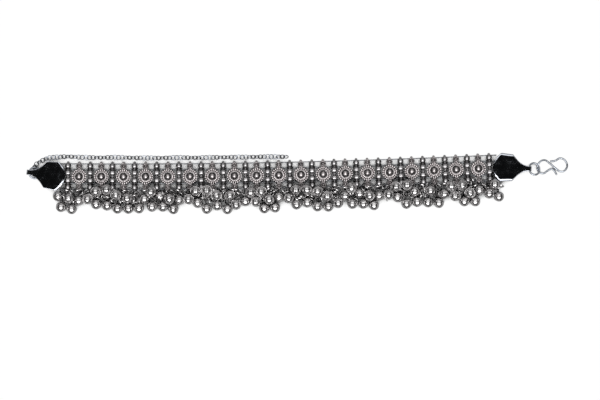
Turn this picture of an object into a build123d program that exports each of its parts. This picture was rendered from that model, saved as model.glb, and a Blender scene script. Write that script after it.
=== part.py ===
from build123d import *
import math
import os

# Payal: an ankle chain of soldered silver units threaded on four wires, with a row of ghungroo bells
# on small rings along its lower edge, a folded end cap on each side, an S-hook and an extension chain.
# It lies open and face up on a flat surface.
# Frame: +X along the band towards the S-hook, +Y towards the edge without bells, +Z up from the
# surface. The origin is on the surface, below the middle of the whole outline. Millimetres.

# The band's middle line is a shallow arc.
BAND_MIDDLE = (-8.4, 3.6)
BAND_RISE = 0.0200  # heading at the band's middle, radians
BAND_RADIUS = 3546.0
UNIT_PITCH = 5.06
COLUMNS = 20
FLOWERS = COLUMNS - 1
UNITS = COLUMNS + FLOWERS

# Four wires, as distances across the band from its middle line.
RAIL_RADIUS = 0.25
RAIL_Z = 1.15
OUTER_RAIL = 5.75
INNER_RAIL = 3.1
OUTER_RAIL_HALF = 99.6
INNER_RAIL_HALF = 101.2

# What a bead column and a flower have in common: a strap and two lugs that the wires run through.
STRAP_WIDTH = 1.2
STRAP_BOTTOM = 0.45
STRAP_TOP = 1.95
LUG_RADIUS = 1.15
RAIL_HOLE_RADIUS = 0.4

END_BEAD_Y = 4.88
END_BEAD_Z = 2.2
END_BEAD_RADIUS = 1.375
INNER_BEAD_Y = 1.73
INNER_BEAD_WIDTH = 2.4
INNER_BEAD_LENGTH = 2.35
INNER_BEAD_ROOT = 0.5  # how far it reaches down into the strap
INNER_BEAD_TOP = 3.3
INNER_BEAD_CORNER = 0.75
INNER_BEAD_CROWN = 0.7
NECK_RADIUS = 0.6
NECK_Z = 2.3
COLLAR_RADIUS = 0.85
COLLAR_WIDTH = 0.5
SLEEVE_RADIUS = 0.7  # the short tubes that the inner wires run through
SLEEVE_LENGTH = 2.8

PETALS = 20
DISC_RADIUS = 3.1
DISC_THICKNESS = 0.6
DISC_TOP = STRAP_TOP + 0.5
GRANULE_RADIUS = 0.48
GRANULE_CIRCLE = 3.08
GRANULE_Z = DISC_TOP - 0.12
FLOWER_RING_RADIUS = 1.95
FLOWER_RING_WIRE = 0.25
DOME_RADIUS = 1.32
DOME_Z = 2.35
EYELET_Y = 4.8
EYELET_RADIUS = 1.375
EYELET_HOLE = 0.75
EYELET_BOTTOM = 1.75
EYELET_THICKNESS = 1.05
EYELET_FLOOR = 0.3

# End caps, each drawn from the middle of its rounded mouth outwards.
CAP_LEFT = {"mouth": (-106.1, 2.62), "tilt": 7.8}
CAP_RIGHT = {"mouth": (89.4, 7.37), "tilt": -2.96}
# Seen from above: the mouth's corner, the shoulder, the waist and the neck of one side.
CAP_CORNER = (3.3, 6.55)
CAP_SHOULDER = (8.6, 6.1)
CAP_WAIST = (11.2, 3.25)
CAP_NECK = (14.6, 1.2)
CAP_HEIGHT = 4.2
CAP_WALL = 0.6
CAP_POCKET = (8.9, 3.05)  # far corner of the hollow between the plates
# The rolled eye at the tip.
CURL_X = 16.3
CURL_Z = 2.0
CURL_RADIUS = 1.25
CURL_HOLE = 0.85
CURL_WIDTH = 1.6
# Seen from the side, the back plate ends at the shoulder and the front plate narrows to the eye.
CAP_SIDE = (
    # out, up
    (0, 0),
    (8.6, 0),
    (12.2, 2.5),
    (CURL_X, 2.5),
    (CURL_X, 3.25),
    (12.4, 3.45),
    (7.4, CAP_HEIGHT),
    (0, CAP_HEIGHT),
)
DENT_AT = (3.2, 4.7)
DENT_RADIUS = 1.3
DENT_DEPTH = 0.25

# Clasp and rings.
RING_WIRE = 0.4
HOOK_RING = {"reach": 2.45, "half": 2.8, "z": 1.58, "fall_x": -0.18, "fall_y": -0.34}
CHAIN_RING = {"radius": 2.5, "reach": 2.38, "turn": -5.0, "slope": -0.31}
HOOK_WIRE = 0.45
HOOK_CROSSING = (116.6, 7.82)
# The S-hook's wire from one free end to the other, from its waist, with the height of its centre.
HOOK_PATH = (
    # along, across, height
    (1.75, -3.80, 0.50),
    (0.80, -2.25, 0.50),
    (-0.35, -1.38, 0.50),
    (-1.80, -1.95, 0.50),
    (-4.56, -3.44, 0.50),
    (-6.60, -2.20, 0.55),
    (-6.85, 0.40, 1.80),
    (-4.33, 2.60, 1.90),
    (-1.37, 1.16, 1.00),
    (1.37, -1.13, 0.50),
    (4.10, -2.64, 0.50),
    (6.20, -1.40, 0.50),
    (6.40, 1.40, 0.50),
    (3.65, 3.51, 0.50),
    (1.03, 2.30, 0.50),
    (-0.75, 2.15, 0.50),
)

# Extension chain: round links, drawn here as one tube, with its first and last link whole.
CHAIN_RADIUS = 1.175
LINK_WIRE = 0.24
LINK_REST = 0.15  # the first link's centre beyond the jump ring's wire
CHAIN_ROUTE = (
    # along, across
    (-119.5, 7.75),
    (-118.9, 8.90),
    (-117.0, 9.95),
    (-115.0, 10.95),
    (-112.7, 11.55),
    (-109.4, 11.75),
    (-104.6, 12.15),
    (-99.0, 11.65),
    (-91.5, 11.50),
    (-83.0, 11.70),
    (-74.5, 11.45),
    (-64.0, 11.35),
    (-54.0, 11.60),
    (-44.0, 11.45),
    (-34.5, 11.75),
    (-25.5, 11.70),
    (-16.0, 12.00),
    (-4.6, 11.95),
)

# Bells on rings. Each drop hangs from the lower outer wire, half-way between two units.
DROPS = COLUMNS + FLOWERS + 1
DROPS_PER_NODE = 4
BELL_RADIUS = 2.3
BELL_RIM_RADIUS = 2.42
BELL_RIM_WIDTH = 0.3
BELL_FOOT_RADIUS = 0.45  # the small flat where the slots of the lower half cross
BELL_EYE = 2.65  # bell's centre to the hole of its eye
LOOP_RADIUS = 1.42  # a jump ring's mean radius
LOOP_WIRE = 0.22
WIRE_RING_RADIUS = 0.85
WIRE_RING_WIRE = 0.22
WIRE_RING_REST = 0.6  # the ring's near side to the wire
STEM_RADIUS = 0.3
THREAD_RADIUS = 0.25
JOINT_RADIUS = 0.36
JOINT_FLATS = 70  # latitude at which a joint's ball ends, degrees
GAP = 0.12
# How the drops are let down, taken in turn: the ring that the short bell hangs on, and how far out,
# how high and how far to the side each bell starts.
LAY = (
    # ring, short out, short up, short side, long out, long up, long side
    (0, 3.2, 2.4, -0.6, 8.9, 2.4, 1.0),
    (1, 6.9, 5.6, 0.5, 5.6, 2.4, -0.9),
    (0, 0.6, 5.4, 0.4, 8.4, 2.4, 0.6),
    (1, 4.6, 5.4, -0.3, 9.6, 2.4, -0.7),
    (0, 3.6, 2.4, 0.7, 7.6, 5.0, 1.3),
    (1, 6.4, 5.6, -1.2, 9.2, 2.4, -1.4),
    (0, 1.2, 5.4, 0.2, 7.0, 2.4, 0.8),
    (0, 3.4, 5.0, -0.8, 9.0, 2.4, 0.3),
    (1, 5.8, 2.4, 0.9, 8.6, 5.2, -0.4),
)
LAY_STRIDE = 5
BELL_SWAY = 0.7  # largest uneven offset outwards from the lay
SHORT_SIDE_SWAY = 0.4
LONG_SIDE_SWAY = 0.5
FALL_STEPS = 90
FALL_PER_STEP = 0.03
REST_STEPS = 250
# Round obstacles that the bells rest against, as across, height and radius: an end bead, a lug, an
# inner bead and the neck between them.
UNIT_POSTS = (
    (-END_BEAD_Y, END_BEAD_Z, END_BEAD_RADIUS),
    (-OUTER_RAIL, RAIL_Z, LUG_RADIUS + 0.05),
    (-2.6, 2.2, 1.5),
    (-3.6, 1.6, 1.1),
)
WIRE_POST_RADIUS = 0.5
CAP_POST_RADIUS = 2.2
CAP_POST_UP = -4.4
CAP_POST_TURN = 8.0  # distance from the mouth where the posts begin to follow the waist
CAP_POSTS = range(3, 14)  # distances out from the mouth


def on_band(along, across=0.0):
    """Point at a distance along the band from its middle and across it, as x and y."""
    heading = BAND_RISE + along / BAND_RADIUS
    x = BAND_MIDDLE[0] + BAND_RADIUS * (math.sin(heading) - math.sin(BAND_RISE))
    y = BAND_MIDDLE[1] + BAND_RADIUS * (math.cos(BAND_RISE) - math.cos(heading))
    return x - across * math.sin(heading), y + across * math.cos(heading)


def band_place(along):
    """Location on the band, turned to its heading there."""
    x, y = on_band(along)
    return Location((x, y, 0), (0, 0, math.degrees(BAND_RISE + along / BAND_RADIUS)))


def cap_point(cap, out, up):
    """Row x and y of a point on a cap, from its mouth outwards and across it."""
    side = -1 if cap is CAP_LEFT else 1
    tilt = math.radians(cap["tilt"])
    x = cap["mouth"][0] + side * out * math.cos(tilt) + up * math.sin(tilt) * -side
    y = cap["mouth"][1] + out * math.sin(tilt) + up * math.cos(tilt)
    return x, y


# ---------------------------------------------------------------- how the bells come to rest

def drop_particles():
    """Starting points of every drop and the distances that hold each one together.

    A drop has seven points: three jump rings, the eyes of its short and long bell, and the bells.
    """
    slack = 2 * (LOOP_RADIUS - LOOP_WIRE)
    at_wire = LOOP_RADIUS - LOOP_WIRE - RAIL_RADIUS
    points, ties, ring_of_short = [], [], []
    for k in range(DROPS):
        ring, short_out, short_up, short_side, long_out, long_up, long_side = LAY[
            k * LAY_STRIDE % len(LAY)
        ]
        sway = math.sin(2.4 * k)
        short_out += BELL_SWAY * sway
        long_out += BELL_SWAY * math.sin(3.9 * k + 1)
        short_side += SHORT_SIDE_SWAY * math.sin(1.7 * k + 2)
        long_side += LONG_SIDE_SWAY * sway
        x, y = on_band((k - (DROPS - 1) / 2) * UNIT_PITCH, -OUTER_RAIL)
        eye_drop = 1.5 if ring else 0.8
        first = len(points)
        points += [
            [x, y - 0.8, 1.75],
            [x + 0.3 * long_side, y - 0.35 * long_out, 1.3],
            [x + 0.6 * long_side, y - 0.6 * long_out, 1.3],
            [x + 0.5 * short_side, y - max(0.4, short_out - 2.2), short_up - eye_drop],
            [x + 0.8 * long_side, y - long_out + 2.4, max(1.0, long_up - 0.6)],
            [x + short_side, y - short_out, short_up],
            [x + long_side, y - long_out, long_up],
        ]
        ring_1, ring_2, ring_3, short_eye, long_eye, short_bell, long_bell = range(first, first + 7)
        short_ring = ring_1 + ring
        ties += [
            (ring_1, (x, y, RAIL_Z), 0.55, at_wire),
            (ring_2, ring_1, 1.3, slack),
            (ring_3, ring_2, 1.3, slack),
            (short_eye, short_ring, LOOP_RADIUS - 0.1, LOOP_RADIUS + 0.05),
            (long_eye, ring_3, LOOP_RADIUS - 0.1, LOOP_RADIUS + 0.05),
            (short_bell, short_eye, BELL_EYE, BELL_EYE),
            (long_bell, long_eye, BELL_EYE, BELL_EYE),
            (short_bell, short_ring, BELL_EYE + 0.2, math.inf),
            (long_bell, ring_3, BELL_EYE + 0.2, math.inf),
        ]
        ring_of_short.append(ring)
    return points, ties, ring_of_short


def posts():
    """Round obstacles that the bells rest against: beads, lugs, units, wire and cap edges."""
    found = []
    for k in range(UNITS):
        along = (k - (UNITS - 1) / 2) * UNIT_PITCH
        for across, height, radius in UNIT_POSTS:
            found.append((*on_band(along, across), height, radius))
    for k in range(2 * UNITS + 2):
        wire_point = on_band((k - UNITS) * UNIT_PITCH / 2, -OUTER_RAIL)
        found.append((*wire_point, RAIL_Z, WIRE_POST_RADIUS))
    for cap in (CAP_LEFT, CAP_RIGHT):
        for out in CAP_POSTS:
            up = CAP_POST_UP + max(0.0, out - CAP_POST_TURN)
            found.append((*cap_point(cap, out, up), CAP_HEIGHT / 2, CAP_POST_RADIUS))
    return found


def keep_apart(p, q, least):
    """Push two points apart to a least distance, each by half of what is missing."""
    gap = [q[i] - p[i] for i in range(3)]
    if abs(gap[0]) >= least:
        return
    distance = math.hypot(*gap)
    if distance < least:
        for i in range(3):
            push = 0.5 * (least - distance) / distance * gap[i]
            p[i] -= push
            q[i] += push


def keep_off(p, post, least):
    """Push a point away from a fixed one."""
    gap = [p[i] - post[i] for i in range(3)]
    distance = math.hypot(*gap)
    if distance < least:
        for i in range(3):
            p[i] += (least - distance) / distance * gap[i]


def tie(p, q, nearest, farthest, q_moves):
    """Bring two points within their range of distances."""
    gap = [q[i] - p[i] for i in range(3)]
    distance = math.hypot(*gap)
    wanted = min(max(distance, nearest), farthest)
    share = (distance - wanted) / distance
    if q_moves:
        share *= 0.5
    for i in range(3):
        p[i] += share * gap[i]
        if q_moves:
            q[i] -= share * gap[i]


def settle_drops():
    """Let the drops fall on the surface, the band and each other, and return their points."""
    points, ties, ring_of_short = drop_particles()
    kinds = ["ring", "ring", "ring", "eye", "eye", "bell", "bell"] * DROPS
    bulk = {"ring": 1.05, "eye": 0.35, "bell": BELL_RIM_RADIUS}
    floor = {"ring": 1.15, "eye": 0.5, "bell": BELL_RIM_RADIUS + 0.02}
    # Within a drop, each bell is kept off the rings that it doesn't hang on.
    own = [
        [(0, 5) if ring else (1, 5), (2, 5), (4, 5), (0, 6), (1, 6), (3, 6), (5, 6)]
        for ring in ring_of_short
    ]
    pairs = []
    for i, kind in enumerate(kinds):
        for j in range(i + 1, min(len(kinds), 7 * (i // 7 + 4))):
            both = {kind, kinds[j]}
            same_drop = i // 7 == j // 7
            if same_drop and (i % 7, j % 7) not in own[i // 7]:
                continue
            if both == {"ring"}:
                pairs.append((i, j, 2.0))
            elif "bell" in both:
                pairs.append((i, j, bulk[kind] + bulk[kinds[j]] + GAP))
    fixed = posts()
    against = []
    for i, kind in enumerate(kinds):
        if kind != "eye":
            size = BELL_RIM_RADIUS if kind == "bell" else 0.35
            near = [post for post in fixed if abs(post[0] - points[i][0]) < 9]
            against.append((points[i], [(post, size + post[3] + GAP) for post in near]))

    for step in range(FALL_STEPS + REST_STEPS):
        if step < FALL_STEPS:
            for point in points:
                point[2] -= FALL_PER_STEP
        for i, j, least in pairs:
            keep_apart(points[i], points[j], least)
        for point, near in against:
            for post, least in near:
                if abs(point[0] - post[0]) < least:
                    keep_off(point, post, least)
        for i, other, nearest, farthest in ties:
            moves = isinstance(other, int)
            tie(points[i], points[other] if moves else other, nearest, farthest, moves)
        for point, kind in zip(points, kinds):
            point[2] = max(point[2], floor[kind])
    return points, ring_of_short


# ---------------------------------------------------------------- shared features of the units

RAILS = (OUTER_RAIL, INNER_RAIL, -INNER_RAIL, -OUTER_RAIL)

# The strap across a unit's back, with a lug at each end.
with BuildPart() as strap:
    with BuildSketch(Plane.XY.offset(STRAP_BOTTOM)):
        Rectangle(STRAP_WIDTH, 2 * OUTER_RAIL)
    extrude(amount=STRAP_TOP - STRAP_BOTTOM)
    with Locations((0, OUTER_RAIL, RAIL_Z), (0, -OUTER_RAIL, RAIL_Z)):
        Cylinder(LUG_RADIUS, STRAP_WIDTH, rotation=(0, 90, 0))

# The four holes that the wires run through.
with BuildPart() as wire_holes:
    with Locations([(0, across, RAIL_Z) for across in RAILS]):
        Cylinder(RAIL_HOLE_RADIUS, 3 * STRAP_WIDTH, rotation=(0, 90, 0))

# ---------------------------------------------------------------- bead column

with BuildPart() as column:
    add(strap.part)
    with Locations((0, END_BEAD_Y, END_BEAD_Z), (0, -END_BEAD_Y, END_BEAD_Z)):
        Sphere(END_BEAD_RADIUS)
    with Locations((0, 0, NECK_Z)):
        Cylinder(NECK_RADIUS, 2 * END_BEAD_Y, rotation=(90, 0, 0))
        Cylinder(COLLAR_RADIUS, COLLAR_WIDTH, rotation=(90, 0, 0))
    with Locations((0, INNER_RAIL, RAIL_Z), (0, -INNER_RAIL, RAIL_Z)):
        Cylinder(SLEEVE_RADIUS, SLEEVE_LENGTH, rotation=(0, 90, 0))
    with BuildPart(mode=Mode.PRIVATE) as inner_bead:
        with BuildSketch(Plane.XY.offset(STRAP_TOP - INNER_BEAD_ROOT)):
            RectangleRounded(INNER_BEAD_WIDTH, INNER_BEAD_LENGTH, INNER_BEAD_CORNER)
        extrude(amount=INNER_BEAD_TOP - STRAP_TOP + INNER_BEAD_ROOT)
        fillet(inner_bead.faces().sort_by(Axis.Z)[-1].edges(), INNER_BEAD_CROWN)
    with Locations((0, INNER_BEAD_Y), (0, -INNER_BEAD_Y)):
        add(inner_bead.part)
    add(wire_holes.part, mode=Mode.SUBTRACT)

# ---------------------------------------------------------------- flower

with BuildPart() as flower:
    add(strap.part)
    with BuildSketch(Plane.XY.offset(EYELET_BOTTOM)):
        with Locations((0, EYELET_Y), (0, -EYELET_Y)):
            Circle(EYELET_RADIUS)
    extrude(amount=EYELET_THICKNESS)
    with BuildSketch(Plane.XY.offset(EYELET_BOTTOM + EYELET_FLOOR)):
        with Locations((0, EYELET_Y), (0, -EYELET_Y)):
            Circle(EYELET_HOLE)
    extrude(amount=EYELET_THICKNESS, mode=Mode.SUBTRACT)
    with Locations((0, 0, DISC_TOP - DISC_THICKNESS / 2)):
        Cylinder(DISC_RADIUS, DISC_THICKNESS)
    with Locations((0, 0, GRANULE_Z)):
        with PolarLocations(GRANULE_CIRCLE, PETALS):
            Sphere(GRANULE_RADIUS)
    with Locations((0, 0, DISC_TOP)):
        Torus(FLOWER_RING_RADIUS, FLOWER_RING_WIRE)
    with Locations((0, 0, DOME_Z)):
        Sphere(DOME_RADIUS)
    add(wire_holes.part, mode=Mode.SUBTRACT)

# ---------------------------------------------------------------- end cap

# The folded form: its outline from above, cut to its side view.
with BuildPart() as cap_blank:
    with BuildSketch():
        with BuildLine():
            corner_x, corner_y = CAP_CORNER
            ThreePointArc((corner_x, corner_y), (0, 0), (corner_x, -corner_y))
            for side in (1, -1):
                corner, shoulder, waist, neck = [
                    (out, side * up) for out, up in (CAP_CORNER, CAP_SHOULDER, CAP_WAIST, CAP_NECK)
                ]
                Line(corner, shoulder)
                ThreePointArc(shoulder, waist, neck)
                Line(neck, (CURL_X, side * CURL_WIDTH / 2))
            Line((CURL_X, CURL_WIDTH / 2), (CURL_X, -CURL_WIDTH / 2))
        make_face()
    extrude(amount=CAP_HEIGHT)
    with BuildSketch(Plane.XZ):
        with BuildLine():
            Polyline(*CAP_SIDE, close=True)
        make_face()
    extrude(amount=2 * corner_y, both=True, mode=Mode.INTERSECT)

with BuildPart() as cap:
    add(cap_blank.part)
    with BuildSketch(Plane.XZ):
        with Locations((CURL_X, CURL_Z)):
            Circle(CURL_RADIUS)
    extrude(amount=CURL_WIDTH / 2, both=True)
    # The hollow between the folded plates, open at the mouth.
    with BuildSketch(Plane.XY.offset(CAP_WALL)):
        with BuildLine():
            half = [
                (-CAP_WALL, corner_y + CAP_WALL),
                (corner_x, corner_y + CAP_WALL),
                (corner_x, corner_y - CAP_WALL),
                (CAP_SHOULDER[0] - CAP_WALL, CAP_SHOULDER[1] - CAP_WALL),
                CAP_POCKET,
            ]
            Polyline(*half, *[(out, -up) for out, up in reversed(half)], close=True)
        make_face()
    extrude(amount=CAP_HEIGHT - 2 * CAP_WALL, mode=Mode.SUBTRACT)
    with BuildSketch(Plane.XZ):
        with Locations((CURL_X, CURL_Z)):
            Circle(CURL_HOLE)
    extrude(amount=CURL_WIDTH, both=True, mode=Mode.SUBTRACT)
    dent_z = CAP_HEIGHT + DENT_RADIUS - DENT_DEPTH
    with Locations((DENT_AT[0], DENT_AT[1], dent_z), (DENT_AT[0], -DENT_AT[1], dent_z)):
        Sphere(DENT_RADIUS, mode=Mode.SUBTRACT)


# ---------------------------------------------------------------- helpers for round wire

def rod(start, end, radius):
    """A straight piece of round wire between two points."""
    return Plane(origin=start, z_dir=end - start) * Solid.make_cylinder(radius, (end - start).length)


def joint(centre, along):
    """The ball where two straight pieces meet, with small flats along one of them."""
    ball = Solid.make_sphere(JOINT_RADIUS, angle1=-JOINT_FLATS, angle2=JOINT_FLATS)
    return Plane(origin=centre, z_dir=along) * ball


def finish(piece, label):
    """Name a finished piece and write it."""
    piece.label = label
    export_step(piece, f"parts/{label}.step")


def placed(piece, place):
    """A copy of a piece at its place in the whole."""
    with BuildPart(mode=Mode.PRIVATE) as copy:
        with Locations(place):
            add(piece)
    return copy.part


os.makedirs("parts", exist_ok=True)

for k in range(UNITS):
    along = (k - (UNITS - 1) / 2) * UNIT_PITCH
    if k % 2:
        finish(placed(flower.part, band_place(along)), f"flower_{k // 2 + 1:02d}")
    else:
        finish(placed(column.part, band_place(along)), f"bead_column_{k // 2 + 1:02d}")

cap_left_place = Location((*CAP_LEFT["mouth"], 0), (0, 0, 180 - CAP_LEFT["tilt"]))
cap_right_place = Location((*CAP_RIGHT["mouth"], 0), (0, 0, CAP_RIGHT["tilt"]))
finish(placed(cap.part, cap_left_place), "end_cap_chain_side")
finish(placed(cap.part, cap_right_place), "end_cap_hook_side")

# ---------------------------------------------------------------- the four wires

for name, across, half in (
    ("wire_upper_outer", OUTER_RAIL, OUTER_RAIL_HALF),
    ("wire_upper_inner", INNER_RAIL, INNER_RAIL_HALF),
    ("wire_lower_inner", -INNER_RAIL, INNER_RAIL_HALF),
    ("wire_lower_outer", -OUTER_RAIL, OUTER_RAIL_HALF),
):
    with BuildPart() as wire:
        with BuildLine():
            run = ThreePointArc(*[(*on_band(along, across), RAIL_Z) for along in (-half, 0, half)])
        with BuildSketch(Plane(origin=run @ 0, z_dir=run % 0)):
            Circle(RAIL_RADIUS)
        sweep()
    finish(wire.part, name)

# ---------------------------------------------------------------- jump rings and S-hook

hook_curl = (*cap_point(CAP_RIGHT, CURL_X, 0), CURL_Z)
ring_x = hook_curl[0] + HOOK_RING["reach"]
ring_y = cap_point(CAP_RIGHT, CURL_X + HOOK_RING["reach"], 0)[1]
ring_plane = Plane(
    origin=(ring_x, ring_y, HOOK_RING["z"]),
    x_dir=(1, 0, HOOK_RING["fall_x"]),
    z_dir=(-HOOK_RING["fall_x"], -HOOK_RING["fall_y"], 1),
)
with BuildPart() as hook_ring:
    with BuildLine(ring_plane):
        oval = EllipticalCenterArc((0, 0), HOOK_RING["reach"], HOOK_RING["half"], arc_size=360)
    with BuildSketch(Plane(origin=oval @ 0, z_dir=oval % 0)):
        Circle(RING_WIRE)
    sweep()

chain_curl = (*cap_point(CAP_LEFT, CURL_X, 0), CURL_Z)
turn = math.radians(CHAIN_RING["turn"])
inward = (math.cos(turn), math.sin(turn), CHAIN_RING["slope"])
ring_centre = [chain_curl[i] + CHAIN_RING["reach"] * inward[i] for i in range(3)]
with BuildPart() as chain_ring:
    with Locations(Plane(
        origin=ring_centre,
        x_dir=inward,
        z_dir=(-inward[0] * inward[2], -inward[1] * inward[2], 1),
    )):
        Torus(CHAIN_RING["radius"], RING_WIRE)

with BuildPart() as s_hook:
    with BuildLine():
        bend = Spline([(HOOK_CROSSING[0] + x, HOOK_CROSSING[1] + y, z) for x, y, z in HOOK_PATH])
    with BuildSketch(Plane(origin=bend @ 0, z_dir=bend % 0)):
        Circle(HOOK_WIRE)
    sweep()
    with Locations(bend @ 0, bend @ 1):
        Sphere(HOOK_WIRE)

finish(hook_ring.part, "hook_ring")
finish(chain_ring.part, "chain_ring")
finish(s_hook.part, "s_hook")

# ---------------------------------------------------------------- extension chain

route = [Vector(x, y, CHAIN_RADIUS) for x, y in CHAIN_ROUTE]
radii = []
for before, corner, after in zip(route, route[1:], route[2:]):
    turn = math.radians((corner - before).get_angle(after - corner))
    shorter = min((corner - before).length, (after - corner).length)
    radii.append(0.45 * shorter / math.tan(turn / 2))
with BuildPart() as chain:
    with BuildLine():
        line = FilletPolyline(*route, radius=radii)
    with BuildSketch(Plane(origin=line @ 0, z_dir=line % 0)):
        Circle(CHAIN_RADIUS)
    sweep()
    # The first link, round the jump ring.
    link_centre = ring_centre[0], ring_centre[1] + CHAIN_RING["radius"] + LINK_REST, CHAIN_RADIUS
    with Locations(Plane(origin=link_centre, z_dir=(1, 0, 0))):
        Torus(CHAIN_RADIUS - LINK_WIRE, LINK_WIRE)
finish(chain.part, "extension_chain")

# ---------------------------------------------------------------- bells

# A bell with the shank that it hangs by, turned about its own axis.
rim_meets = math.sqrt(BELL_RADIUS**2 - (BELL_RIM_WIDTH / 2) ** 2)
shank_meets = math.sqrt(BELL_RADIUS**2 - STEM_RADIUS**2)
foot_meets = math.sqrt(BELL_RADIUS**2 - BELL_FOOT_RADIUS**2)
bell_flank = BELL_RADIUS * math.sqrt(0.5)
with BuildPart() as bell_blank:
    with BuildSketch(Plane.XZ):
        with BuildLine():
            ThreePointArc(
                (BELL_FOOT_RADIUS, -foot_meets),
                (bell_flank, -bell_flank),
                (rim_meets, -BELL_RIM_WIDTH / 2),
            )
            Polyline(
                (rim_meets, -BELL_RIM_WIDTH / 2),
                (BELL_RIM_RADIUS, -BELL_RIM_WIDTH / 2),
                (BELL_RIM_RADIUS, BELL_RIM_WIDTH / 2),
                (rim_meets, BELL_RIM_WIDTH / 2),
            )
            ThreePointArc(
                (rim_meets, BELL_RIM_WIDTH / 2),
                (bell_flank, bell_flank),
                (STEM_RADIUS, shank_meets),
            )
            Polyline(
                (STEM_RADIUS, shank_meets),
                (STEM_RADIUS, BELL_EYE),
                (0, BELL_EYE),
                (0, -foot_meets),
                (BELL_FOOT_RADIUS, -foot_meets),
            )
        make_face()
    revolve(axis=Axis.Z)

points, ring_of_short = settle_drops()
for group in range(DROPS // DROPS_PER_NODE):
    with BuildPart() as drops:
        for k in range(group * DROPS_PER_NODE, (group + 1) * DROPS_PER_NODE):
            ring_1, ring_2, ring_3, short_eye, long_eye, short_bell, long_bell = points[
                7 * k : 7 * k + 7
            ]
            wire = Vector(*on_band((k - (DROPS - 1) / 2) * UNIT_PITCH, -OUTER_RAIL), RAIL_Z)
            away = (Vector(*ring_1) - wire).normalized()
            hanger = wire + away * (2 * WIRE_RING_RADIUS - WIRE_RING_REST)
            # The ring round the wire, and the jump rings drawn as one thread to each bell.
            centre = hanger - away * WIRE_RING_RADIUS
            thread = [hanger, Vector(*ring_2), Vector(*ring_3), Vector(*long_eye)]
            runs = [*zip(thread, thread[1:]), (thread[ring_of_short[k]], Vector(*short_eye))]
            pieces = [joint(thread[0], thread[1] - thread[0])]
            for start, end in runs:
                pieces += [rod(start, end, THREAD_RADIUS), joint(end, end - start)]
            for bell, eye in ((short_bell, short_eye), (long_bell, long_eye)):
                axis = Vector(*eye) - Vector(*bell)
                pieces.append(Plane(origin=bell, z_dir=axis) * bell_blank.part)
            with BuildPart(mode=Mode.PRIVATE) as drop:
                with Locations(Plane(origin=centre, x_dir=away, z_dir=away.cross(Vector(0, 0, 1)))):
                    Torus(WIRE_RING_RADIUS, WIRE_RING_WIRE)
                add(pieces)
            add(drop.part)
    finish(drops.part, f"bell_drops_{group + 1:02d}")
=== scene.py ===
import math

import bmesh
import bpy
import numpy as np
from mathutils import Matrix, Vector


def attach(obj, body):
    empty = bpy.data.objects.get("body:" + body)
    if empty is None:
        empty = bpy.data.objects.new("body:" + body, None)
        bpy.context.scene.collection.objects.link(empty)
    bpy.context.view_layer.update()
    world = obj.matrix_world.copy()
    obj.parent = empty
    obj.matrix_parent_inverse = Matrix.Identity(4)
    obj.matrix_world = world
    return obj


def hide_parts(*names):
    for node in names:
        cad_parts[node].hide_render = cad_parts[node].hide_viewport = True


bl_info = {
    "name": "Payal Anklet",
    "version": (1, 0, 0),
    "blender": (4, 5, 0),
    "location": "3D View > Sidebar > Payal",
    "description": "Builds an open payal anklet of flowers, beads and ghungroo bells",
    "category": "Object",
}

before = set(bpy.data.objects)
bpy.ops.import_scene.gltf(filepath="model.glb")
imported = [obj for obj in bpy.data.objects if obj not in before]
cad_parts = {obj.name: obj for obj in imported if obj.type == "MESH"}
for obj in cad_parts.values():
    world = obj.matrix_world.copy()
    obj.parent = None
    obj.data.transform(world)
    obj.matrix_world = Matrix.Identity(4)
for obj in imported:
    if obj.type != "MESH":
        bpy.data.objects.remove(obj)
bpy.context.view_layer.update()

# The anklet is worked out in millimetres in the frame of the CAD part, and turned to metres last.
MM = 0.001

# ---- sizes shared with the CAD part

# The band lies along a very flat arc, given by its middle, its heading there and its radius.
BAND_MIDDLE = (-8.4, 3.6)
BAND_RISE = 0.0200
BAND_RADIUS = 3546.0
UNIT_PITCH = 5.06
COLUMNS = 20
FLOWERS = COLUMNS - 1
UNITS = COLUMNS + FLOWERS

RAIL_RADIUS = 0.25
RAIL_Z = 1.15
OUTER_RAIL = 5.75
INNER_RAIL = 3.1
OUTER_RAIL_HALF = 99.6
INNER_RAIL_HALF = 101.2

STRAP_WIDTH = 1.2
STRAP_BOTTOM = 0.45
STRAP_TOP = 1.95
LUG_RADIUS = 1.15

END_BEAD_Y = 4.88
END_BEAD_Z = 2.2
END_BEAD_RADIUS = 1.375
INNER_BEAD_Y = 1.73
INNER_BEAD_TOP = 3.3
NECK_Z = 2.3

DISC_TOP = STRAP_TOP + 0.5
EYELET_Y = 4.8

# Each cap is placed by the middle of its mouth. Points on it are given as the distance out from
# the mouth and the distance across.
CAP_LEFT = {"mouth": (-106.1, 2.62), "tilt": 7.8}
CAP_RIGHT = {"mouth": (89.4, 7.37), "tilt": -2.96}
CAP_CORNER = (3.3, 6.55)
CAP_SHOULDER = (8.6, 6.1)
CAP_HEIGHT = 4.2
CURL_X = 16.3
CURL_Z = 2.0
CURL_HOLE = 0.85
DENT_AT = (3.2, 4.7)

# A clasp ring's reach is from the cap's rolled eye to the ring's centre.
RING_WIRE = 0.4
HOOK_RING = {"reach": 2.45, "half": 2.8, "z": 1.58, "fall_x": -0.18, "fall_y": -0.34}
CHAIN_RING = {"radius": 2.5, "reach": 2.38, "turn": -5.0, "slope": -0.31}
HOOK_WIRE = 0.45
HOOK_CROSSING = (116.6, 7.82)
HOOK_PATH = (
    # along, across, height
    (1.75, -3.80, 0.50), (0.80, -2.25, 0.50), (-0.35, -1.38, 0.50), (-1.80, -1.95, 0.50),
    (-4.56, -3.44, 0.50), (-6.60, -2.20, 0.55), (-6.85, 0.40, 1.80), (-4.33, 2.60, 1.90),
    (-1.37, 1.16, 1.00), (1.37, -1.13, 0.50), (4.10, -2.64, 0.50), (6.20, -1.40, 0.50),
    (6.40, 1.40, 0.50), (3.65, 3.51, 0.50), (1.03, 2.30, 0.50), (-0.75, 2.15, 0.50),
)

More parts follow.
